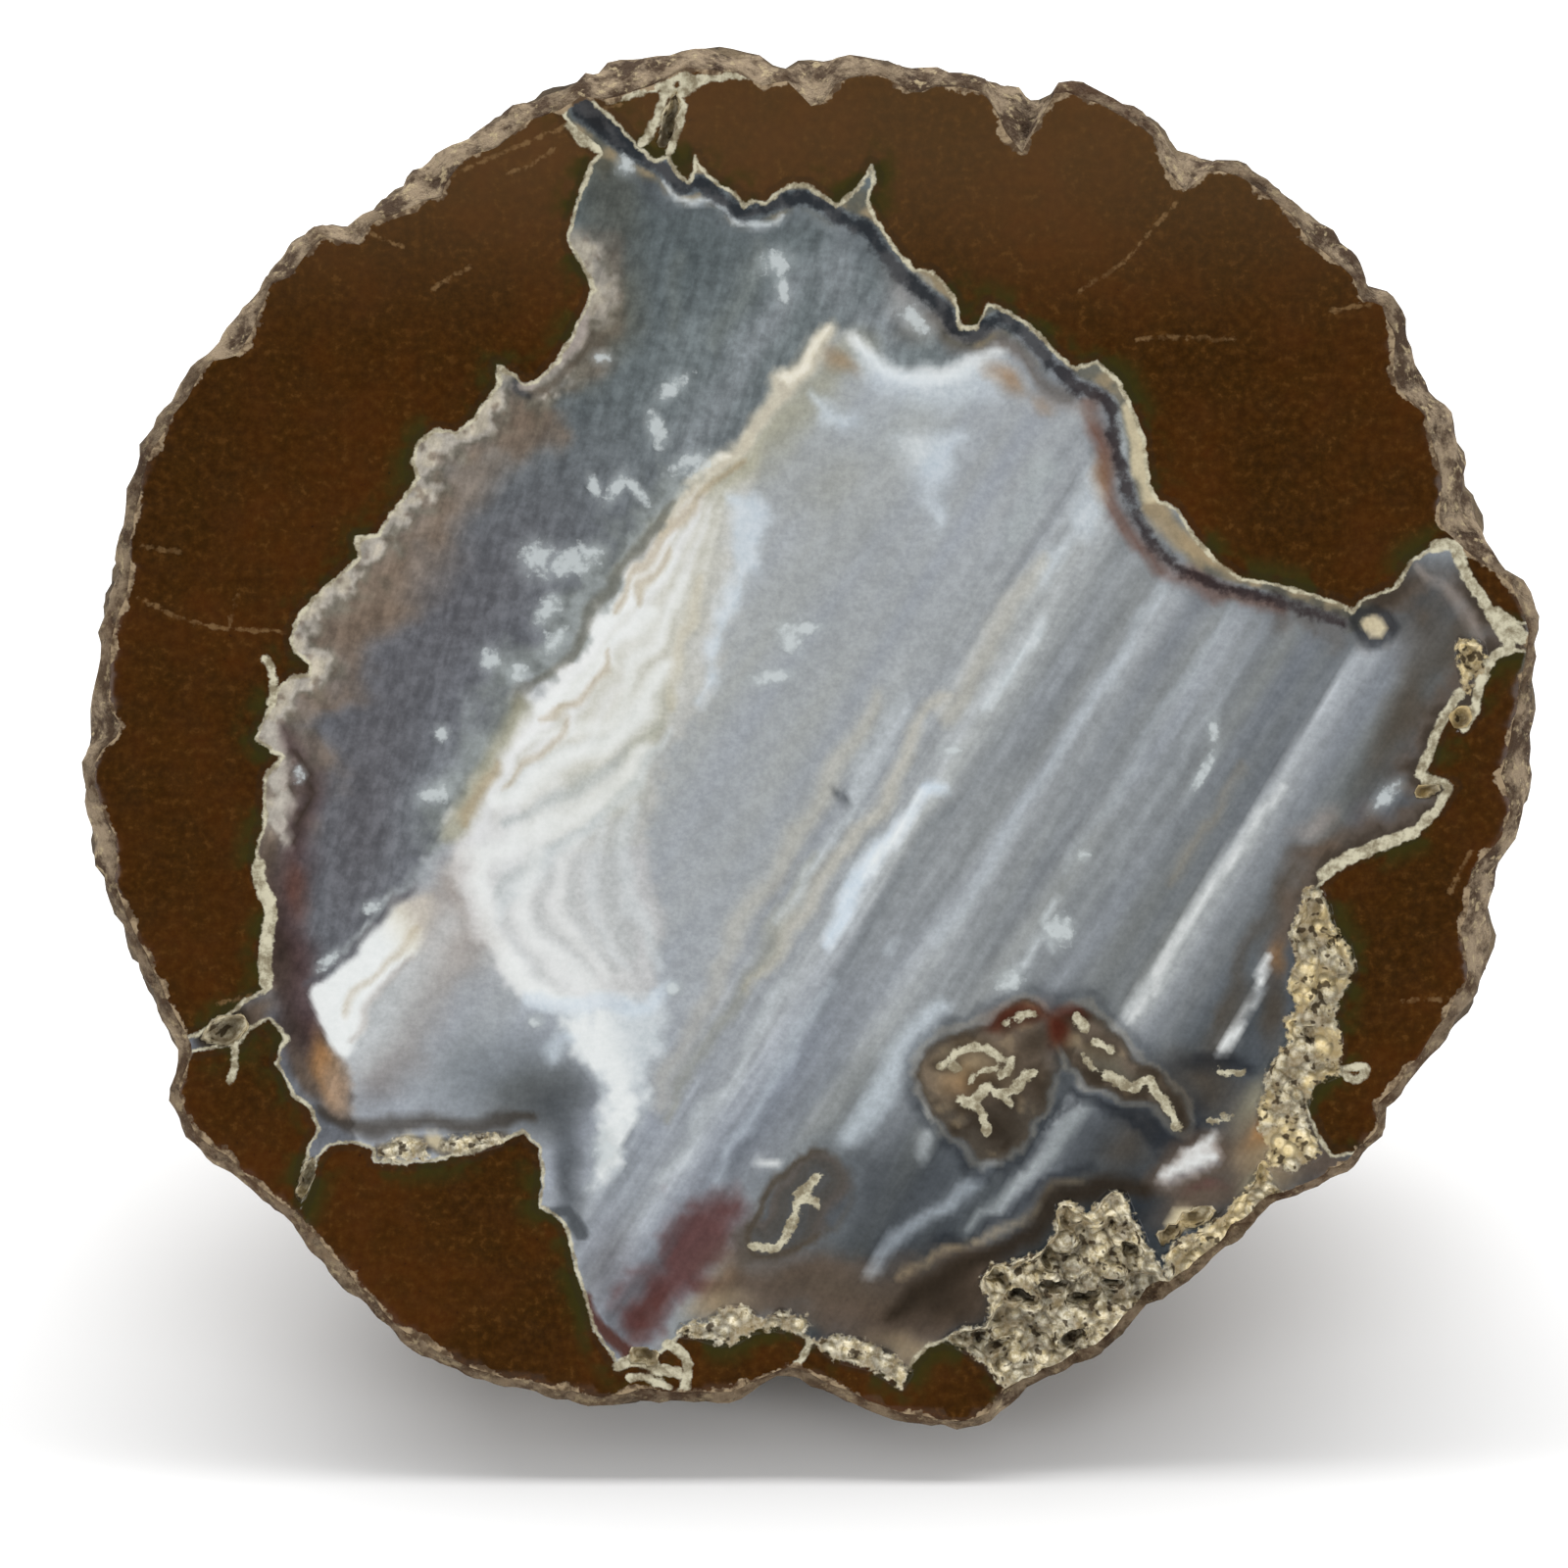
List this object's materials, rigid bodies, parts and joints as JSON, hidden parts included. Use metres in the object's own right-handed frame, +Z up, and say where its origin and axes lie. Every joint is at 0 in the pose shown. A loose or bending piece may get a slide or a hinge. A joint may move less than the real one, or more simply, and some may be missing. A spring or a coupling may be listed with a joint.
{
  "type": "agate nodule half",
  "caption": "Half of a rough-rinded agate nodule with a flat polished cut face, leaning back on a small flat spot on its rounded back, for display.",
  "frame": {"origin": "centre of the bounding box's bottom face, on the surface that the stone rests on", "axes": "+Z up, +X to the right along the cut face as it is looked at, -Y the side that the leaning cut face is on"},
  "size_m": [0.098, 0.0694, 0.0864],
  "materials": {
    "stone": "polished banded agate and brown rhyolite on the cut face, rough tan and grey rind behind"
  },
  "bodies": {
    "root": {"agate_nodule": "stone"}
  },
  "joints": []
}
